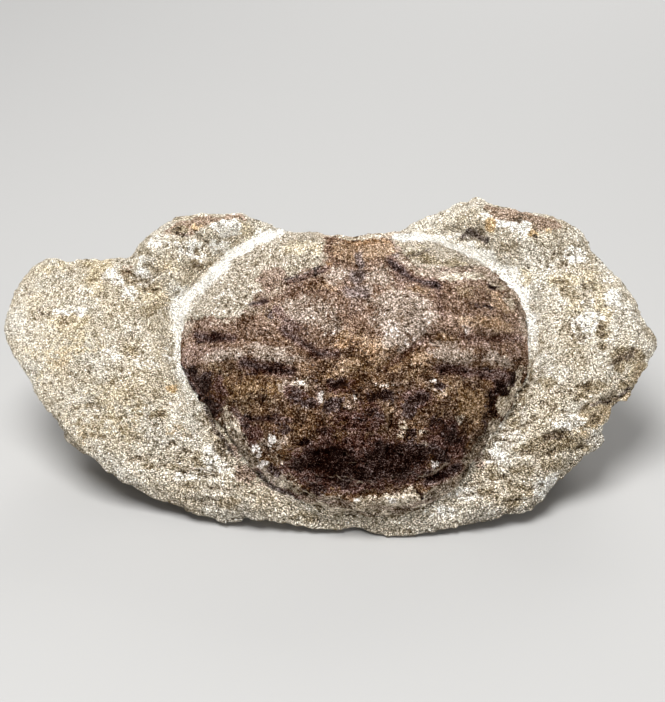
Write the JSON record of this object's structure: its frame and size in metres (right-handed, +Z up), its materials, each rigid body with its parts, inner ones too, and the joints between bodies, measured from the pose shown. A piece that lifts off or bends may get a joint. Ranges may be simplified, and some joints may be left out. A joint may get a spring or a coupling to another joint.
{
  "type": "fossil crab in matrix",
  "caption": "Fossil crab: the domed carapace of a round crab, prepared out of the sloping face of a lump of pale stone that rests on a small flat spot.",
  "frame": {"origin": "the middle of the small flat spot under the stone, on the surface it rests on", "axes": "+Z up, square to the flat spot; +X along the stone's long way, to the right of someone facing the crab; the face with the crab looks along -Y and 50 degrees upward"},
  "size_m": [0.116, 0.0477, 0.044],
  "materials": {
    "matrix_stone": "matt, sugary grain cut by an air scribe",
    "fossil_shell": "satin, mottled brown"
  },
  "bodies": {
    "root": {"matrix": "matrix_stone", "carapace": "fossil_shell"}
  },
  "joints": []
}
